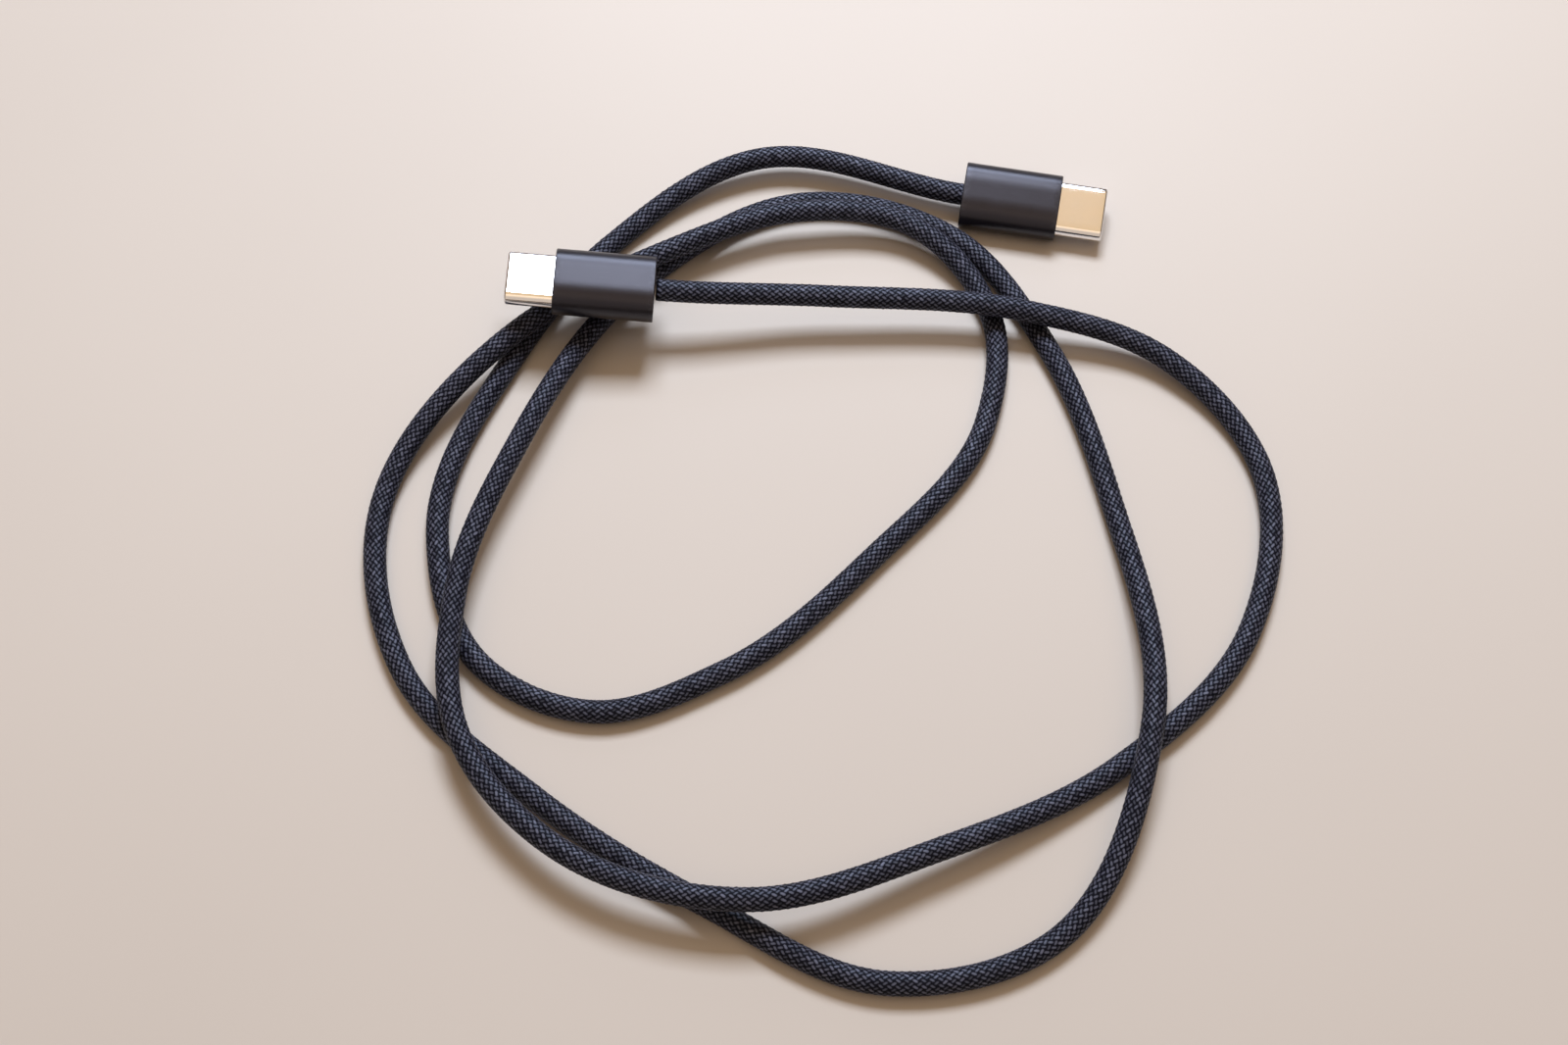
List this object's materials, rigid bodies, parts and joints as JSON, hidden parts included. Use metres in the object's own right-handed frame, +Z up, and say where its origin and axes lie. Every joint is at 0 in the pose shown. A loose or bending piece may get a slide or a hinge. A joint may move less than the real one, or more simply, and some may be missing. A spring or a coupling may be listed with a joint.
{
  "type": "charging cable",
  "caption": "Woven charging cable lying in loose loops, with a slim oval plastic boot and a flat metal plug at each end.",
  "frame": {"origin": "on the table, at the bottom centre of the box round the two plugs", "axes": "+X along the longest side of the box round the two plugs, from plug A to plug B; +Z up, the thinnest way through it; the cord's loops lie towards -Y"},
  "size_m": [0.1242, 0.124, 0.0126],
  "materials": {
    "woven_sleeve": "woven polyester sleeve, charcoal, slight sheen",
    "boot_plastic": "fine satin moulded plastic",
    "plug_steel": "bright nickel-plated steel",
    "black_insulator": "moulded insulator",
    "gold_contacts": "gold plated",
    "spring_steel": "spring steel",
    "shield_steel": "tinned sheet",
    "circuit_board": "solder mask",
    "solder": "solder",
    "crimp_brass": "crimped ring",
    "inner_mould": "soft inner mould",
    "inner_jacket": "soft jacket",
    "wire_red": "wire insulation",
    "wire_black": "wire insulation",
    "wire_green": "wire insulation; one of the pair is white",
    "wire_blue": "wire insulation"
  },
  "bodies": {
    "root": {"cord": "woven_sleeve", "boot_a": "boot_plastic", "shell_a": "plug_steel", "front_housing_a": "black_insulator", "contact_holder_a": "black_insulator", "contacts_top_a": "gold_contacts", "contacts_bottom_a": "gold_contacts", "latch_spring_a": "spring_steel", "ground_spring_top_a": "spring_steel", "ground_spring_bottom_a": "spring_steel", "board_a": "circuit_board", "resistor_a": "black_insulator", "solder_joints_a": "solder", "can_top_a": "shield_steel", "can_bottom_a": "shield_steel", "crimp_ring_a": "crimp_brass", "inner_mould_a": "inner_mould", "sleeve_end_a": "woven_sleeve", "jacket_end_a": "inner_jacket", "power_wire_a": "wire_red", "ground_wire_a": "wire_black", "data_wires_a": "wire_green", "control_wire_a": "wire_blue", "boot_b": "boot_plastic", "shell_b": "plug_steel", "front_housing_b": "black_insulator", "contact_holder_b": "black_insulator", "contacts_top_b": "gold_contacts", "contacts_bottom_b": "gold_contacts", "latch_spring_b": "spring_steel", "ground_spring_top_b": "spring_steel", "ground_spring_bottom_b": "spring_steel", "board_b": "circuit_board", "resistor_b": "black_insulator", "solder_joints_b": "solder", "can_top_b": "shield_steel", "can_bottom_b": "shield_steel", "crimp_ring_b": "crimp_brass", "inner_mould_b": "inner_mould", "sleeve_end_b": "woven_sleeve", "jacket_end_b": "inner_jacket", "power_wire_b": "wire_red", "ground_wire_b": "wire_black", "data_wires_b": "wire_green", "control_wire_b": "wire_blue"}
  },
  "joints": []
}
